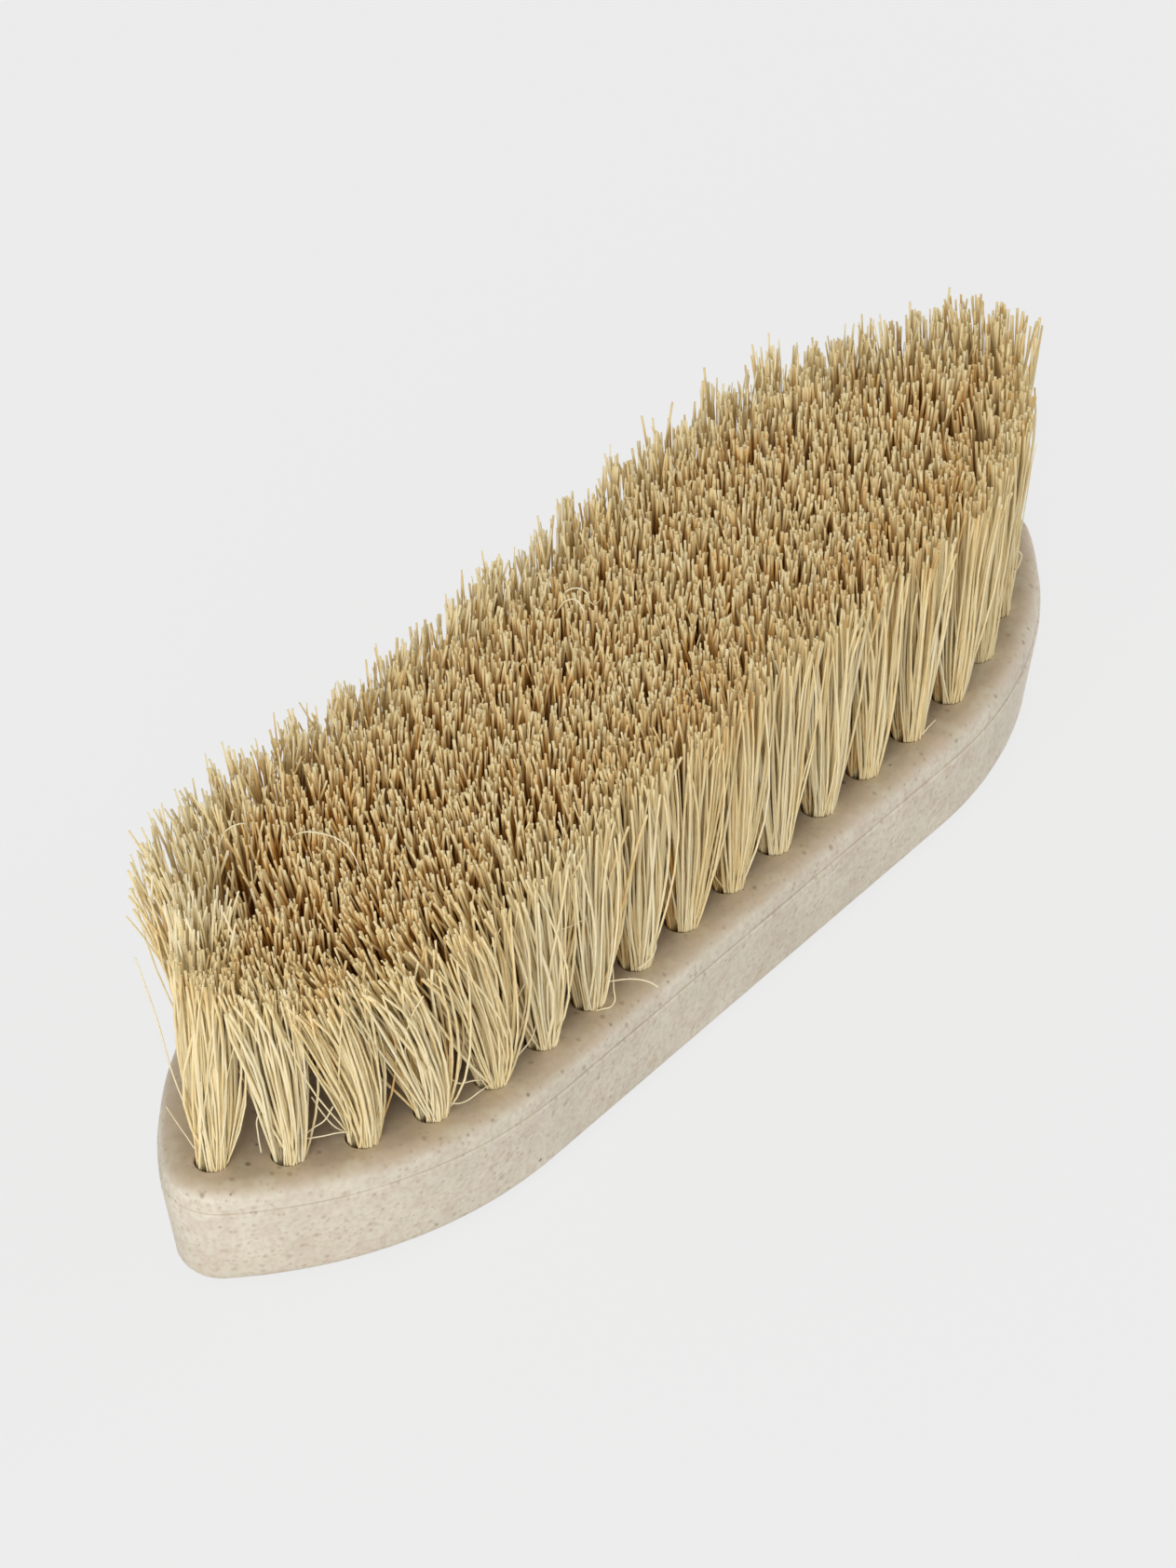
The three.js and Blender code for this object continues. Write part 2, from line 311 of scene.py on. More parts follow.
def straw_composite():
    """Pale satin composite: cloudy cream, tan and brown specks of straw, a few dark ones, short fibres, and
    painted shade on the face and in the seam.
    """
    material, tree, shader = new_material("straw composite")
    place = add_node(tree, "ShaderNodeTexCoord").outputs["Object"]

    def scattered(where, per_metre, share, size):
        """Mask of flecks in a share of the cells of a pattern that has so many to the metre."""
        inputs = {"Place": where, "Cells per metre": per_metre}
        inputs |= {"Share of cells": share, "Size in cells": size}
        return add_node(tree, "ShaderNodeGroup", inputs, node_tree=flecks).outputs["Mask"]

    clouds = cloudy(tree, place, scale=90, detail=3)
    patches = cloudy(tree, place, scale=260, detail=2)
    grain = cloudy(tree, place, scale=1100, detail=4)
    axes = add_node(tree, "ShaderNodeSeparateXYZ", {"Vector": place}).outputs
    # Painted shade: the face is darker and browner than the side, where the tufts shade it.
    face_painted_shade = ranged(tree, axes["Z"], face - 2 * mm, face - 0.6 * mm, 0, 0.85)
    # Painted shade in the crevice of the seam: a thin darker line, patchy, fading out towards the left end.
    off_seam = math(tree, "ABSOLUTE", math(tree, "SUBTRACT", axes["Z"], seam + 0.12 * mm))
    past_left_end = ranged(tree, axes["X"], -80 * mm, -40 * mm)
    seam_shade_strength = math(tree, "MULTIPLY", past_left_end, ranged(tree, clouds, 0.3, 0.6, 0.12, 0.42))
    seam_painted_shade = math(tree, "MULTIPLY", ranged(tree, off_seam, 0.25 * mm, 0.1 * mm), seam_shade_strength)
    cream = mix(tree, ranged(tree, clouds, 0.35, 0.65), colour(226, 217, 200), colour(213, 204, 186))
    # the face's painted shade
    cream = mix(tree, face_painted_shade, cream, colour(183, 163, 133))
    cream = mix(tree, ranged(tree, patches, 0.5, 0.7, 0, 0.5), cream, colour(206, 188, 170))
    cream = mix(tree, ranged(tree, patches, 0.48, 0.3, 0, 0.4), cream, colour(212, 206, 182))
    cream = mix(tree, ranged(tree, grain, 0.42, 0.75, 0, 0.5), cream, colour(188, 170, 146))
    tan_specks = scattered(place, per_metre=800, share=0.9, size=0.42)
    brown_specks = scattered(place, per_metre=460, share=0.6, size=0.3)
    dark_specks = scattered(place, per_metre=240, share=0.42, size=0.16)
    smudges = scattered(place, per_metre=190, share=0.5, size=0.34)
    one_way = stretched(tree, place, (1, 0.16, 1), turn=(0.4, 0.3, 0.7))
    other_way = stretched(tree, place, (0.16, 1, 1), turn=(0.2, 0.9, -0.6))
    straw_one_way = scattered(one_way, per_metre=420, share=0.3, size=0.24)
    straw_other_way = scattered(other_way, per_metre=380, share=0.26, size=0.24)
    fibres = math(tree, "MAXIMUM", straw_one_way, straw_other_way)
    tone = mix(tree, math(tree, "MULTIPLY", smudges, 0.4), cream, colour(196, 170, 138))
    tone = mix(tree, math(tree, "MULTIPLY", tan_specks, 0.55), tone, colour(168, 146, 120))
    tone = mix(tree, math(tree, "MULTIPLY", fibres, 0.6), tone, colour(178, 152, 122))
    bared = ranged(tree, axes["Z"], seam, face - 1 * mm, 0.4, 0.8)
    tone = mix(tree, math(tree, "MULTIPLY", brown_specks, bared), tone, colour(140, 113, 88))
    tone = mix(tree, math(tree, "MULTIPLY", dark_specks, 0.8), tone, colour(102, 88, 76))
    # the seam's painted shade
    tone = mix(tree, seam_painted_shade, tone, colour(150, 130, 106))
    tree.links.new(tone, shader.inputs["Base Color"])
    tree.links.new(ranged(tree, grain, 0.3, 0.7, 0.44, 0.58), shader.inputs["Roughness"])
    shader.inputs["Specular IOR Level"].default_value = 0.4
    skin = cloudy(tree, place, scale=1600, detail=3)
    unevenness = math(tree, "ADD", skin, math(tree, "MULTIPLY", clouds, 1.5))
    add_bump(tree, shader, unevenness, strength=0.12, distance=0.2 * mm)
    return material


composite = straw_composite()
back.data.materials.append(composite)
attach(back, "root")
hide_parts("block_back")

# Brush plate
# The upper half of the block, of the same straw composite, closed onto the back along a fine seam. Its face
# has a soft round edge and a drilled hole for every tuft, with the lip of each hole worn a little round.
face_round = 3 * mm
seam_step = 0.3 * mm
seam_groove = 0.08 * mm
hole_pitch = 11.6 * mm  # wanted; the outer row rounds it to a whole number of holes
hole_radius = 2.6 * mm
lip_round = 0.3 * mm
hole_steps = 28


def along_outline(inset, distance):
    """Point on the outline, at a distance from the middle of the far side towards the +X tip."""
    tip = tip_radius - inset
    shoulder = shoulder_radius - inset
    shoulder_run = shoulder * (pi / 2 - tip_angle)
    past_straight = distance - straight_side / 2
    if past_straight < 0:
        return distance, half_width - inset
    if past_straight < shoulder_run:
        turn = pi / 2 - past_straight / shoulder
        return straight_side / 2 + shoulder * cos(turn), shoulder * sin(turn) - shoulder_drop
    turn = tip_angle - (past_straight - shoulder_run) / tip
    return tip_centre_x + tip * cos(turn), tip * sin(turn)


def outer_row():
    """Holes of the row that follows the edge, one at each tip and half way along each side; their pitch."""
    shoulder_run = (shoulder_radius - row_inset) * (pi / 2 - tip_angle)
    quarter = straight_side / 2 + shoulder_run + (tip_radius - row_inset) * tip_angle
    count = round(quarter / hole_pitch)
    far_right = [along_outline(row_inset, quarter * i / count) for i in range(count)]
    near_right = [(x, -y) for x, y in far_right[::-1]]
    right = far_right + [(half_length - row_inset, 0)] + near_right
    left = [(-x, y) for x, y in right[1:-1]]
    return right + left[::-1], quarter / count


outer_places, pitch = outer_row()
rows = {"outer": outer_places}
for row in inner_rows:
    row_y, row_end = row_reach(row)
    count = round(2 * row_end / pitch) + 1
    rows[row] = [(-row_end + pitch * i, row_y) for i in range(count)]

bm = bmesh.new()
plate_levels = [(seam_step + seam_groove, seam), (seam_step, seam + seam_groove)]
plate_levels += rounded_edge(seam_step, face - face_round, face_round, 1, steps=8)
lowest, highest = loft(bm, plate_levels)


def drill(bm, x, y):
    """Wall of one hole, round at the lip; gives its edges at the bottom and at the face."""
    known = set(bm.edges)
    foot = bm.verts.new((x + hole_radius, y, seam))
    lip = bmesh.ops.extrude_vert_indiv(bm, verts=[foot])["verts"]
    bmesh.ops.translate(bm, verts=lip, vec=(0, 0, face - seam - lip_round))
    lip_centre = (x + hole_radius + lip_round, y, face - lip_round)
    bmesh.ops.spin(bm, geom=lip, cent=lip_centre, axis=(0, 1, 0), angle=pi / 2, steps=4)
    profile = new_edges(bm, known)
    bmesh.ops.spin(
        bm,
        geom=ends_of(profile) + profile,
        cent=(x, y, 0),
        axis=(0, 0, 1),
        angle=2 * pi,
        steps=hole_steps,
        use_merge=True,
    )
    rims = [edge for edge in new_edges(bm, known) if edge.is_boundary]
    bottom = [edge for edge in rims if edge.verts[0].co.z < (seam + face) / 2]
    return bottom, [edge for edge in rims if edge not in bottom]


for x, y in [place for places in rows.values() for place in places]:
    bottom, top = drill(bm, x, y)
    lowest += bottom
    highest += top
fill_flat(bm, lowest)
fill_flat(bm, highest)
plate = add_piece("brush_plate_shell", bm)
keep_flats_flat(plate)
plate.data.materials.append(composite)
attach(plate, "root")
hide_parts("brush_plate")


# Draw wires
# One flat steel wire to a row of holes, set on edge in the row's groove. Each tuft is doubled over it and
# pulled down into its hole; the plate hides the wires, but for a glimpse down a slit.
def drawn_steel():
    """Bright steel with fine lines along the wire, dulled here and there."""
    material, tree, shader = new_material("drawn steel")
    place = add_node(tree, "ShaderNodeTexCoord").outputs["Object"]
    drawn = cloudy(tree, stretched(tree, place, (60, 60, 9000)), scale=1, detail=2)
    dull = cloudy(tree, place, scale=300, detail=3)
    tone = mix(tree, ranged(tree, dull, 0.35, 0.7), colour(196, 196, 193), colour(150, 148, 143))
    tree.links.new(tone, shader.inputs["Base Color"])
    tree.links.new(ranged(tree, drawn, 0.3, 0.7, 0.25, 0.45), shader.inputs["Roughness"])
    shader.inputs["Metallic"].default_value = 1
    add_bump(tree, shader, drawn, strength=0.2, distance=0.05 * mm)
    return material


steel = drawn_steel()
for row in rows:
    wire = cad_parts[f"{row}_row_wire"]
    wire.data.materials.clear()
    wire.data.materials.append(steel)

# Tufts
# Stiff plant fibre, about 140 fibres to a tuft, doubled over the wire so that a slit shows at the hole. The
# tufts fan out until they meet, are trimmed level, and have been combed over at the left end.
trimmed_middle = 38.7 * mm
trimmed_rise = 0.022  # of the trim along X: down to the near left, up to the far right
fibre_room = hole_radius - 0.15 * mm
fibre_spacing = 0.33 * mm
slit = 1.25 * mm
finest_fibre = 0.15 * mm  # in radius, as the next two
coarsest_fibre = 0.36 * mm
radius_spread = 0.045 * mm
thin_share = 0.1  # of all fibres
bundle_shift = np.array([0.15, -0.2]) * mm  # tufts lie a little off the middle of their holes
root_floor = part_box("outer_row_tufts")[0].z + 0.1 * mm
far_from = 5 * mm  # Y past which a tuft stands at the far side
heights = np.array([0, 0.08, 0.2, 0.35, 0.52, 0.7, 0.86, 1])  # of a fibre's points above the face
root_to_tip = np.concatenate([[0], heights])  # with the root below the face
random = np.random.default_rng(7)

# Habit of the tufts of the inner rows, of the near edge and the tips, and of the far edge, which is ragged.
# Lengths are in millimetres, shares are of a tuft's fibres, and shade is painted shade: how much deeper
# their tone is.
inner_habit = {
    "narrowest_fan": 1.05,
    "widest_fan": 1.15,
    "scatter": 0.7,
    "astray_share": 0.14,
    "fibres_to_a_clump": 4,
    "pull_to_clump": (0, 0.45),
    "short_share": 0.06,
    "most_short": 4,
    "tall_share": 0.04,
    "most_tall": 1.6,
    "radius": 0.262,
    "shade_at_foot": 0.5,
}
edge_habit = inner_habit | {
    "widest_fan": 1.35,
    "scatter": 1,
    "astray_share": 0.28,
    "most_reach": 8,
    "reach_at_left_end": 6,
    "least_shade": 0,
    "shade_at_foot": 1,
}
far_habit = edge_habit | {
    "fibres_to_a_clump": 6,
    "pull_to_clump": (0.15, 0.7),
    "clump_scatter": 0.8,
    "short_share": 0.22,
    "most_short": 6,
    "tall_share": 0.16,
    "most_tall": 3.4,
    "radius": 0.245,
    "reach_at_left_end": 4.4,
    "least_shade": 0.35,
    "shade_at_foot": 0.3,
}


def habit_of(y, follows_edge):
    """Habit of a tuft by its row, and by its side of the brush."""
    if not follows_edge:
        return inner_habit
    return far_habit if y > far_from else edge_habit


def along_brush(x, stations):
    """Value at x, between those given at stations along the brush, in millimetres from its middle."""
    return np.interp(x / mm, list(stations), list(stations.values()))


def packed_roots():
    """Where the fibres of a tuft stand in its hole: closely packed, in two half-moons beside the wire."""
    count = int(fibre_room / fibre_spacing) + 2
    across = np.arange(-count, count + 1)
    x, y = np.meshgrid(across * fibre_spacing, (across + 0.5) * fibre_spacing * sqrt(3) / 2)
    x[::2] += fibre_spacing / 2
    inside = (np.hypot(x, y) < fibre_room) & (abs(y) > slit / 2)
    return np.stack([x[inside], y[inside]], axis=1)


roots = packed_roots()


def lean(x, y, follows_edge):
    """How far a tuft's tips lean at the left end: along the brush in front, and outwards at the far side."""
    if not follows_edge:
        across = along_brush(x, {-85: 5, -50: 4, -20: 0})
        return np.array([-across * (1 - y / half_width), 0]) * mm
    if y < -mm:
        across = along_brush(x, {-90: 6, -80: 10, -70: 11, -58: 9, -46: 4.5, -35: 2, -23: 0.7, -10: 0})
        return np.array([-across, 0]) * mm
    across = along_brush(x, {-98: 1.8, -90: 1, -80: 3, -46: 1.5, -35: 0})
    back = along_brush(x, {-98: -0.5, -90: 1.2, -80: 5, -70: 4.5, -58: 2.5, -46: 1, -20: 0})
    return np.array([-across, back]) * mm


combed_places = np.array(
    [place + lean(*place, row == "outer") for row, places in rows.items() for place in np.array(places)]
)


def cell_reach(centre, directions, outward):
    """How far tips spread in each direction: half way to the next tuft, or a set way past the edge."""
    gaps = combed_places - centre
    gaps = gaps[np.hypot(*gaps.T) > mm]
    if outward is not None:
        gaps = np.vstack([gaps, outward])
    facing = np.maximum(directions @ gaps.T, 1e-9)
    return ((gaps**2).sum(axis=1) / 2 / facing).min(axis=1)


def wildness(x, follows_edge):
    """How wavy and crossed the fibres are: most near the left end, and less in the inner rows."""
    wild = along_brush(x, {-98: 0.1, -88: 0.2, -78: 0.6, -50: 0.7, -20: 0})
    return wild if follows_edge else 0.4 * wild


def fan_out(x, y, foot, outward, habit, wild):
    """Where the tips stand, from the middle of the hole; the clump of each; and which have gone astray."""
    follows_edge = outward is not None
    count = len(foot)
    closed = foot.copy()
    closed[:, 1] -= np.sign(foot[:, 1]) * slit / 2 * (1 - abs(foot[:, 1]) / fibre_room)
    directions = closed / np.hypot(*closed.T)[:, None]
    reach = cell_reach(np.array([x, y]) + lean(x, y, follows_edge), directions, outward)
    if follows_edge:
        most = habit["most_reach"]
        to_left = along_brush(x, {-98: 4.5, -90: habit["reach_at_left_end"], -80: most})
        reach = np.minimum(reach, np.where(directions[:, 0] < 0, to_left, most) * mm)
    fan = closed / fibre_room * reach[:, None] * random.uniform(habit["narrowest_fan"], habit["widest_fan"])
    fan += random.normal(0, habit["scatter"] * mm, (count, 2))
    seeds = fan[random.choice(count, count // habit["fibres_to_a_clump"], replace=False)]
    clump = ((fan[:, None] - seeds[None]) ** 2).sum(axis=2).argmin(axis=1)
    pull = random.uniform(*habit["pull_to_clump"], len(seeds))[clump]
    middles = np.array([fan[clump == i].mean(axis=0) for i in range(len(seeds))])
    fan += (middles[clump] - fan) * pull[:, None]
    if habit is far_habit:
        fan += random.normal(0, habit["clump_scatter"] * mm, (len(seeds), 2))[clump]
    astray = random.random(count) < habit["astray_share"] + 0.2 * wild
    strays = (1.8 + 1.6 * wild) * along_brush(x, {-98: 0.5, -85: 1})
    fan[astray] += random.normal(0, strays * mm, (astray.sum(), 2))
    if follows_edge:
        way = outward / np.hypot(*outward)
        too_far = np.maximum(fan @ way - np.hypot(*outward) * 0.75 - 0.5 * mm, 0)
        fan -= too_far[:, None] * way
    return fan, clump, astray


def trimmed_lengths(x, y, clump, habit, wild):
    """Length of each fibre above the face, trimmed level but for a few; and which of them stand tall."""
    count = len(clump)
    level = trimmed_middle + trimmed_rise * ((y < mm) * min(x, 0) + (y > -mm) * max(x, 0))
    uneven = 0.3 if y < far_from else 0.5
    if habit is far_habit:
        uneven = 1.5 + 0.4 * wild
        lower = along_brush(x, {-60: 0.7, -10: 1.6, 60: 1.5, 80: 1.6, 95: 0.2})
        level += random.normal(0, 0.5 * mm) - lower * mm
    length = level + random.normal(0, 0.3 * mm, count)
    length += random.normal(0, uneven * mm, clump.max() + 1)[clump]
    short = random.random(count) < habit["short_share"]
    length[short] -= random.uniform(1 * mm, habit["most_short"] * mm, short.sum())
    tall = random.random(count) < habit["tall_share"]
    length[tall] += random.uniform(0.5 * mm, habit["most_tall"] * mm, tall.sum())
    return length, tall


def bent_fibres(x, foot, fan, sway, astray, habit, wild):
    """How far each fibre lies from the middle of its hole at every height: spread, bowed and waved."""
    count = len(foot)
    spread = random.uniform(0.75, 1.05, count)[:, None, None]
    if habit is far_habit:
        spread += along_brush(x, {-92: 0.6, -78: 0})
    bend = random.uniform(1.2, 1.9, count)[:, None, None]
    calm = along_brush(x, {40: 1, 70: 0.6})
    bow = random.normal(0, (0.5 * calm + 0.25 * wild) * mm, (count, 2))
    bow[astray] *= 2.4
    wave = random.normal(0, (0.2 + 0.12 * wild) * mm, (count, 2))
    tilt = random.normal(0, 0.6 * calm * mm, (count, 2))
    steps = heights[None, :, None]
    path = foot[:, None] + (fan - foot)[:, None] * steps**spread + sway * steps**bend
    path = path + bow[:, None] * np.sin(pi * steps) + wave[:, None] * np.sin(2 * pi * steps)
    return path + tilt[:, None] * steps**8


def fibre_radii(habit, standing_out):
    """Radius of each fibre: a few are thin, and those that stand out are finer than the rest."""
    count = len(standing_out)
    radius = random.normal(habit["radius"] * mm, radius_spread, count)
    radius = np.clip(radius, finest_fibre, coarsest_fibre)
    thin = random.random(count) < thin_share
    radius[thin] *= 0.55
    radius[standing_out] *= 0.85
    return radius


def fibre_tones(x, foot, outward, clump, habit):
    """Tone of each fibre from root to tip, 0 pale to 1.6 amber: a random tone of its own, deepened by
    painted shade where it stands among others.
    """
    count = len(foot)
    # Painted shade: deeper on the side of an outer tuft that faces the other tufts, and all through the
    # inner rows.
    shade = np.ones(count)
    if outward is not None:
        facing_out = (foot @ outward) / np.hypot(*outward) / fibre_room
        shade = np.clip(-0.1 - facing_out, habit["least_shade"], 0.7)
        shade *= along_brush(x, {-95: 0.15, -75: 1, 85: 1, 98: 0.2})
    tone = random.normal(0.28, 0.08, count) + random.normal(0, 0.06, clump.max() + 1)[clump]
    tone += random.normal(0, 0.03)
    if habit is edge_habit:
        tone -= along_brush(x, {-98: 0.05, -88: 0.08, -60: 0.1, -40: 0.15, -20: 0, 60: -0.03})
    # Painted light: the far edge a little paler towards its left end; past the middle it is a little deeper.
    if habit is far_habit:
        tone -= along_brush(x, {-80: 0.03, -40: -0.05})
    # Painted shade deep inside each tuft, and on the right flank of the tufts towards the left end.
    inside = np.clip(0.8 - np.hypot(*foot.T) / fibre_room, 0, 1)
    inside *= along_brush(x, {-95: 0.25, -80: 1, 30: 1, 60: 0.5})
    flank_shade = np.clip(foot[:, 0] / fibre_room, 0, 1)
    flank_shade *= along_brush(x, {-95: 0, -85: 0.35, -40: 0.35, -20: 0})
    # The painted shade is strongest part way up the fibres and fades out to the tips.
    depth = np.interp(root_to_tip, [0.3, 0.6, 1], [habit["shade_at_foot"], 1, 0])
    tone = (tone + 0.2 * shade)[:, None] + (shade + 0.8 * inside + flank_shade)[:, None] * depth
    # Painted shade towards the tips of the near edge and the ends of the brush, where the backs of the tufts
    # lie in shade.
    if habit is edge_habit:
        tone += 0.25 * root_to_tip**5
    return np.clip(tone, 0, 1.6)


def tuft(x, y, outward):
    """Fibres of one tuft: points from root to tip, the radius of each, and its tone at every point."""
    follows_edge = outward is not None
    habit = habit_of(y, follows_edge)
    wild = wildness(x, follows_edge)
    centre = np.array([x, y]) + bundle_shift
    foot = roots + random.normal(0, 0.05 * mm, (len(roots), 2))
    fan, clump, astray = fan_out(x, y, foot, outward, habit, wild)
    sway = lean(x, y, follows_edge) + random.normal(0, 0.4 * mm, 2)
    length, tall = trimmed_lengths(x, y, clump, habit, wild)
    rise = np.sqrt(length**2 - ((fan + sway - foot) ** 2).sum(axis=1))
    path = bent_fibres(x, foot, fan, sway, astray, habit, wild) + centre
    points = np.concatenate([path, (face + rise[:, None] * heights)[..., None]], axis=2)
    root = np.column_stack([foot + centre, np.full(len(foot), root_floor)])
    points = np.concatenate([root[:, None], points], axis=1)
    radius = fibre_radii(habit, astray | tall)
    return points, radius, fibre_tones(x, foot, outward, clump, habit)


def fibre_mesh(name, points, radius, tone):
    """Mesh of many fibres: a bevelled curve for each, its ends closed and its tone kept as an attribute."""
    curve = bpy.data.curves.new(name, "CURVE")
    curve.dimensions = "3D"
    curve.bevel_depth = 1  # so that the radius of a point is the fibre's own
    curve.bevel_resolution = 0
    steps = points.shape[1]
    taper = np.interp(np.arange(steps), [0, 1, 4, steps - 1], [0.75, 0.78, 1, 0.92])
    for path, thickness in zip(points, radius):
        spline = curve.splines.new("POLY")
        spline.points.add(steps - 1)
        spline.points.foreach_set("co", np.column_stack([path, np.ones(steps)]).ravel())
        spline.points.foreach_set("radius", thickness * taper)
    helper = add_object(name, curve)
    shaped = helper.evaluated_get(bpy.context.evaluated_depsgraph_get())
    mesh = bpy.data.meshes.new_from_object(shaped)
    bpy.data.objects.remove(helper)
    bpy.data.curves.remove(curve)
    sides = len(mesh.vertices) // tone.size
    tones = mesh.attributes.new("tone", "FLOAT", "POINT")
    tones.data.foreach_set("value", np.repeat(tone.ravel(), sides))
    bm = bmesh.new()
    bm.from_mesh(mesh)
    open_edges = [edge for edge in bm.edges if edge.is_boundary]
    for end in bmesh.ops.holes_fill(bm, edges=open_edges, sides=4)["faces"]:
        end.material_index = 1
        end.smooth = False
    bm.to_mesh(mesh)
    bm.free()
    mesh.name = name
    return mesh


def streaked_fibre_group():
    """Dry plant fibre: its tone made a colour, with streaks along the fibre and browner patches."""
    colours = {"Pale": "Color", "Middle": "Color", "Golden": "Color", "Amber": "Color"}
    group, given, wanted = new_group(
        "streaked fibre",
        {"Place": "Vector", "Tone": "Float"} | colours,
        {"Colour": "Color", "Roughness": "Float", "Streaks": "Float"},
    )
    streaks = cloudy(group, stretched(group, given["Place"], (2600, 2600, 110)), scale=1, detail=3)
    patches = cloudy(group, given["Place"], scale=260, detail=2)
    shade = math(group, "ADD", given["Tone"], ranged(group, streaks, 0.3, 0.7, -0.2, 0.2))
    lower = mix(group, ranged(group, shade, 0.0, 0.5), given["Pale"], given["Middle"])
    upper = mix(group, ranged(group, shade, 0.5, 1.0), lower, given["Golden"])
    straw = mix(group, ranged(group, shade, 1.0, 1.6), upper, given["Amber"])
    straw = mix(group, ranged(group, patches, 0.55, 0.8, 0, 0.12), straw, given["Golden"])
    group.links.new(straw, wanted["Colour"])
    group.links.new(ranged(group, streaks, 0.3, 0.7, 0.48, 0.66), wanted["Roughness"])
    group.links.new(streaks, wanted["Streaks"])
    return group


streaked_fibre = streaked_fibre_group()


def fibre_material(name, colours):
    """Plant fibre in four colours, from pale to amber; every fibre has its own tone, which painted shade
    deepens among the tufts.
    """
    material, tree, shader = new_material(name)
    place = add_node(tree, "ShaderNodeTexCoord").outputs["Object"]
    tone = add_node(tree, "ShaderNodeAttribute", attribute_name="tone").outputs["Fac"]
    inputs = {"Place": place, "Tone": tone} | colours
    fibre = add_node(tree, "ShaderNodeGroup", inputs, node_tree=streaked_fibre).outputs
    tree.links.new(fibre["Colour"], shader.inputs["Base Color"])
    tree.links.new(fibre["Roughness"], shader.inputs["Roughness"])
    shader.inputs["Specular IOR Level"].default_value = 0.35
    add_bump(tree, shader, fibre["Streaks"], strength=0.25, distance=0.1 * mm)
    return material


# Golden and amber are reached mostly through painted shade, deep among the tufts.
plant_fibre_colours = {
    "Pale": colour(250, 239, 204),
    "Middle": colour(241, 220, 166),
    "Golden": colour(216, 163, 78),
    "Amber": colour(182, 107, 26),
}
cut_fibre_colours = {
    "Pale": colour(250, 240, 206),
    "Middle": colour(244, 224, 172),
    "Golden": colour(228, 190, 122),
    "Amber": colour(210, 160, 84),
}
plant_fibre = fibre_material("plant fibre", plant_fibre_colours)
cut_fibre = fibre_material("cut fibre ends", cut_fibre_colours)


def outward_at(x, y):
    """From an outer tuft to its mirror image past the edge, which sets how far out its tips spread."""
    past_straight = max(abs(x) - straight_side / 2, 0)
    way = Vector((np.sign(x) * past_straight, np.sign(y) * (abs(y) + shoulder_drop)))
    if abs(x) > tip_centre_x:
        way = Vector((x, 0))
    near = along_brush(x, {-90: 3, -60: 4.4, 60: 4.2, 98: 3})
    far = along_brush(x, {-98: 1, -90: 1.5, -70: 4.6, -40: 2.6, 20: 2.4, 50: 3.4, 80: 4, 98: 3})
    return np.array(way.normalized()) * 2 * (near if y < 0 else far) * mm


def set_tufts(name, node, places, follows_edge):
    """One piece of the tufts at these places."""
    made = [tuft(x, y, outward_at(x, y) if follows_edge else None) for x, y in places]
    points, radius, tone = (np.concatenate(parts) for parts in zip(*made))
    mesh = fibre_mesh(name, points, radius, tone)
    mesh.materials.append(plant_fibre)
    mesh.materials.append(cut_fibre)
    bristles = add_object(name, mesh)
    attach(bristles, "root")
    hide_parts(node)


near_side = [place for place in rows["outer"] if place[1] < -mm]
far_side = [place for place in rows["outer"] if place[1] >= -mm]
set_tufts("near_side_bristles", "outer_row_tufts", near_side, True)
set_tufts("far_side_bristles", "outer_row_tufts", far_side, True)
for row in inner_rows:
    set_tufts(f"{row}_row_bristles", f"{row}_row_tufts", rows[row], False)

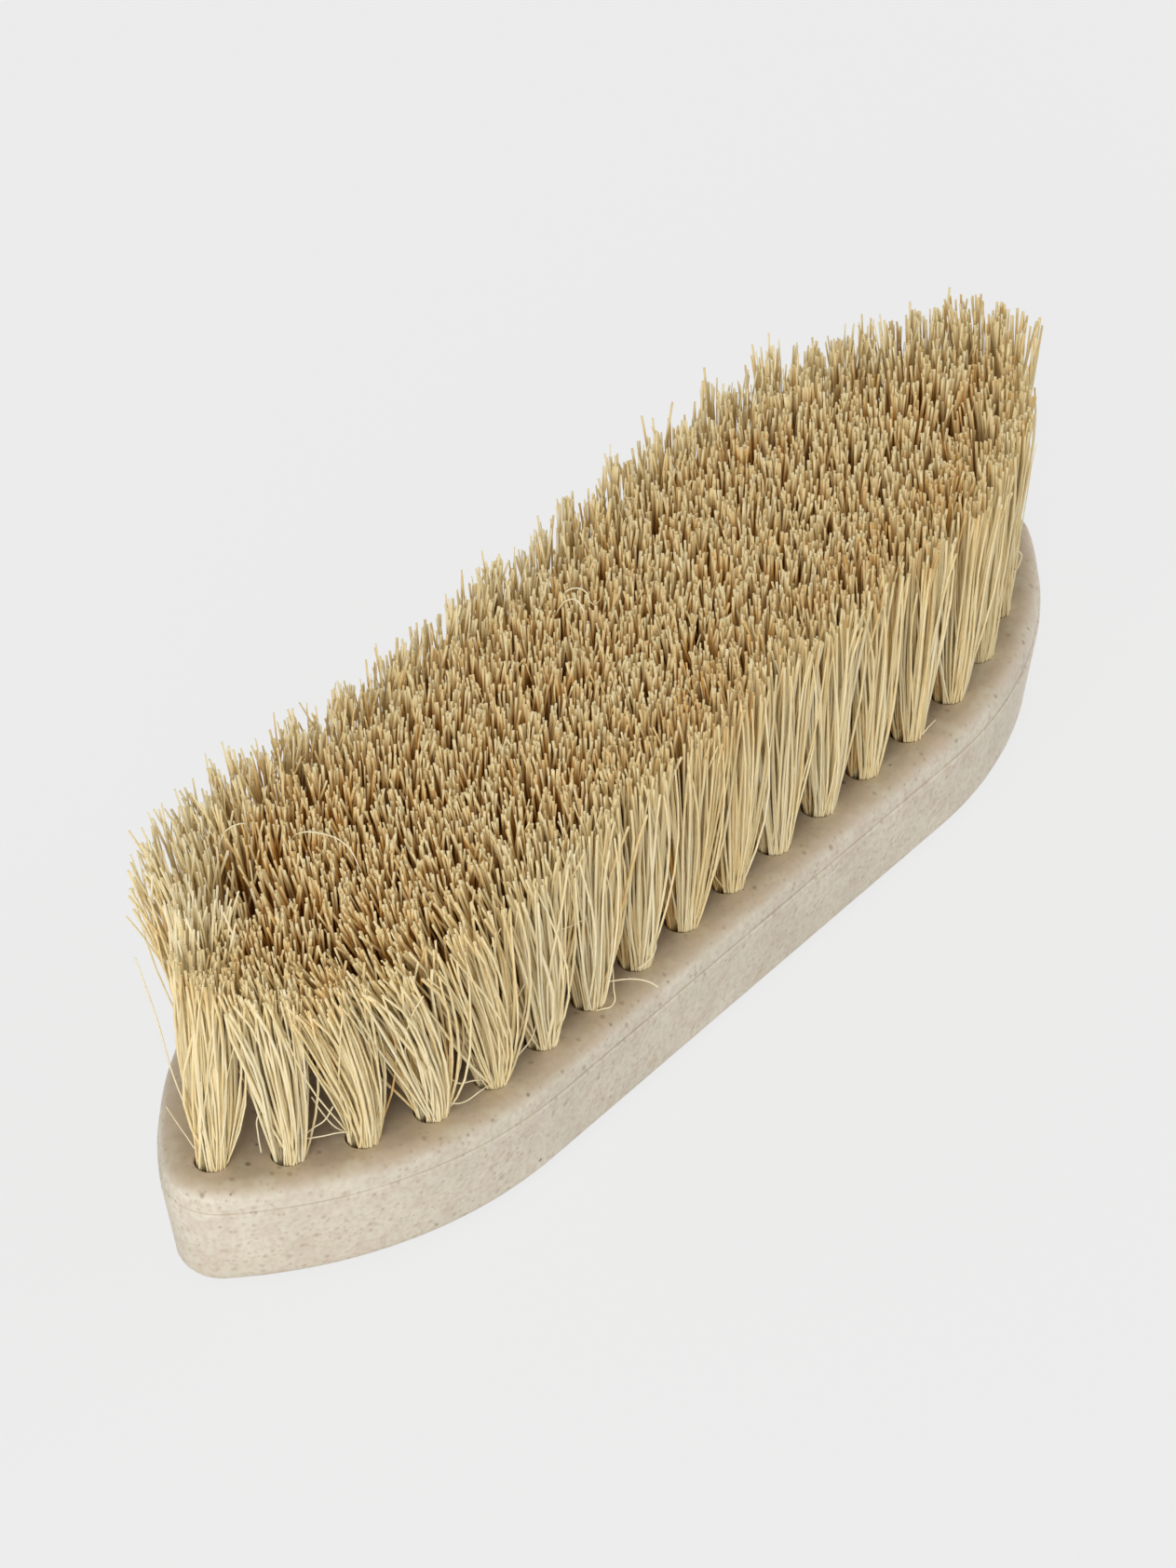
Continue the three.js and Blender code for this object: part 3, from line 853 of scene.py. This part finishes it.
# Loose fibres
# Thin fibres that have slipped out of their tufts: some bend over the face or across to the next tuft, and
# a few lie curled on the trimmed tips. Routes are in millimetres, from the tuft that holds the fibre.
loose_radius = 0.13 * mm
loose_routes = [
    [(-36.5, -23.7, 20), (-35.8, -25, 20.7), (-34, -26, 20.9), (-31.9, -24.5, 22.5), (-31, -23.5, 27)],
    [(-34, -23.5, 23.8), (-32.2, -25, 24), (-29.8, -26.8, 23.6), (-28, -28.4, 22.6), (-27.2, -29.4, 21.6)],
    [(-59.5, -22.5, 20.8), (-62.5, -23, 21.8), (-66, -22.3, 21.5), (-69, -21.3, 23)],
    [(-60, -22.3, 22), (-64, -22.5, 24.5), (-66.5, -22, 25.5), (-68.5, -21.5, 29), (-68.5, -21.5, 33.5)],
    [(-81.5, -14.2, 21.5), (-84.5, -13, 24.5), (-86, -12, 27.5), (-87.5, -11, 31.5)],
    [(-89.5, -9.5, 23), (-88, -11.5, 26), (-86.5, -12.5, 27), (-85, -13, 29)],
    [(-81.8, -14.6, 22.5), (-85, -13.5, 24), (-86.5, -12.5, 24), (-89, -10.5, 24)],
    [(-98.5, -0.5, 20.5), (-99, 1, 21.5), (-97.5, 5.5, 22.5), (-94.5, 11.5, 22.5)],
    [(-91.5, -7.5, 33), (-93, -5, 28), (-93.2, -5.2, 25), (-93, -5.5, 21.5)],
    [(-58, -22.5, 21.5), (-57, -23.5, 22.5), (-54.5, -24, 24), (-51.5, -24, 25), (-48.5, -23, 26.5)],
    [(-24.5, -23.5, 21), (-26, -25, 22.5), (-23.5, -25.3, 23), (-22, -25, 24.5), (-22.5, -24.6, 25.5)],
    [(-47.5, -25.5, 44), (-43.5, -26, 43), (-40, -25.8, 42)],
    [(-60.5, -24, 35.5), (-57, -24.8, 36), (-54, -24.5, 37), (-51, -24, 38.5)],
    [(-98.6, 0.5, 20.5), (-100.5, 2.5, 31.5), (-101.5, 4, 38.5)]
    + [(-103, 5, 48.5), (-104.5, 6.5, 58), (-105, 7, 61)],
    [(-66, 10, 54), (-66, 8.5, 58), (-65, 4.5, 59.5), (-65, -0.5, 59.5), (-65, -3, 56)],
    [(-74, 17, 55), (-73, 16.5, 59), (-71, 15.2, 60), (-68.5, 15.5, 57)],
    [(-0.5, 11.5, 56), (1, 9, 60.5), (1, 7, 60.5), (-0.5, 5, 56)],
    [(2.5, 12.5, 56), (3, 10.5, 60.5), (4, 8.5, 60.5), (3.5, 7, 59.3), (7.5, 8, 57)],
    [(46.3, -23, 20.5), (46.6, -24.6, 21.2), (49, -24.6, 21.3), (51.5, -24, 20.7)],
    [(79, -14, 31), (80.5, -16, 32), (82, -18, 32.5), (82, -18, 30), (81, -16.5, 27)],
    [(67, -15.5, 34), (68.5, -17, 35.5), (69.5, -18.5, 36.5)],
]


def loose_fibre_curve(name):
    """Curve with one smooth spline to a loose fibre."""
    curve = bpy.data.curves.new(name, "CURVE")
    curve.dimensions = "3D"
    curve.bevel_depth = loose_radius
    curve.bevel_resolution = 0
    curve.resolution_u = 5
    curve.use_fill_caps = True
    for route in loose_routes:
        spline = curve.splines.new("BEZIER")
        spline.bezier_points.add(len(route) - 1)
        for knot, place in zip(spline.bezier_points, route):
            knot.co = Vector(place) * mm
            knot.handle_left_type = "AUTO"
            knot.handle_right_type = "AUTO"
    return curve


loose = add_object("loose_fibres", loose_fibre_curve("loose_fibres"))
loose.data.materials.append(plant_fibre)
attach(loose, "root")

# Floor and light
# A pale grey floor just below the flat back, even light from all round, a large soft lamp at the left, so
# that the side of the block is lighter than its face, and a weaker lamp at the right.
backdrop = colour(239, 239, 239)
floor_size = 6
floor_gap = 0.1 * mm
floor_evenness = 0.88  # the rest is the lit floor, which shows the shadow
light_from_sides = 0.58
light_from_above = 0.5


def seen_or_lit(tree, lit_shader, evenness):
    """The backdrop's even colour to the camera and in reflections, and the lit shader to all other rays."""
    path = add_node(tree, "ShaderNodeLightPath").outputs
    seen = math(tree, "MAXIMUM", path["Is Camera Ray"], path["Is Glossy Ray"])
    seen = math(tree, "MAXIMUM", seen, path["Is Transmission Ray"])
    flat = add_node(tree, "ShaderNodeEmission", {"Color": backdrop})
    share = math(tree, "MULTIPLY", seen, evenness)
    inputs = {0: share, 1: lit_shader.outputs[0], 2: flat.outputs[0]}
    return add_node(tree, "ShaderNodeMixShader", inputs).outputs[0]


bm = bmesh.new()
bmesh.ops.create_grid(bm, x_segments=1, y_segments=1, size=floor_size / 2)
bmesh.ops.translate(bm, verts=bm.verts, vec=(0, 0, back_low.z - floor_gap))
floor_mesh = bpy.data.meshes.new("floor")
bm.to_mesh(floor_mesh)
bm.free()
floor = add_object("floor", floor_mesh)
floor_paint = bpy.data.materials.new("floor")
floor_paint.use_nodes = True
floor_tree = floor_paint.node_tree
floor_tree.nodes.clear()
matt = add_node(floor_tree, "ShaderNodeBsdfDiffuse", {"Color": backdrop})
floor_out = add_node(floor_tree, "ShaderNodeOutputMaterial")
floor_tree.links.new(seen_or_lit(floor_tree, matt, floor_evenness), floor_out.inputs["Surface"])
floor_mesh.materials.append(floor_paint)

world = bpy.data.worlds.new("even light")
bpy.context.scene.world = world
world.use_nodes = True
world_tree = world.node_tree
world_tree.nodes.clear()
towards = add_node(world_tree, "ShaderNodeTexCoord").outputs["Generated"]
height = add_node(world_tree, "ShaderNodeSeparateXYZ", {"Vector": towards}).outputs["Z"]
strength = ranged(world_tree, height, 0.1, 0.9, light_from_sides, light_from_above)
sky = add_node(world_tree, "ShaderNodeBackground", {"Color": (1, 1, 1, 1), "Strength": strength})
world_out = add_node(world_tree, "ShaderNodeOutputWorld")
world_tree.links.new(seen_or_lit(world_tree, sky, 1), world_out.inputs["Surface"])


def soft_lamp(name, place, size, energy):
    """Round lamp that faces the brush; place and size in metres, energy in watts."""
    lamp = bpy.data.lights.new(name, "AREA")
    lamp.shape = "DISK"
    lamp.size = size
    lamp.energy = energy
    stand = add_object(name, lamp)
    stand.location = place
    stand.rotation_mode = "QUATERNION"
    stand.rotation_quaternion = (-Vector(place)).to_track_quat("-Z", "Y")


soft_lamp("lamp by the camera", (-1.5, -0.55, 0.68), size=1.3, energy=16.5)
soft_lamp("lamp at the right", (1.4, -0.5, 0.45), size=0.9, energy=6)

# Camera
# Placed as the photograph's camera stood: from above the near left, with a long lens.
azimuth = radians(-51.99)
elevation = radians(39.06)
roll = -0.008
distance = 1494.2 * mm
target = Vector((16.26, 17.73, 10)) * mm
camera = bpy.data.cameras.new("camera")
camera.lens = 217.8
camera.sensor_width = 36
camera_object = add_object("camera", camera)
backwards = Vector((sin(azimuth) * cos(elevation), -cos(azimuth) * cos(elevation), sin(elevation)))
level_right = Vector((cos(azimuth), sin(azimuth), 0))
level_up = backwards.cross(level_right)
right = cos(roll) * level_right + sin(roll) * level_up
up = cos(roll) * level_up - sin(roll) * level_right
turned = Matrix((right, up, backwards)).transposed().to_4x4()
camera_object.matrix_world = Matrix.Translation(target + backwards * distance) @ turned
bpy.context.scene.camera = camera_object
bpy.context.scene.view_settings.view_transform = "Standard"
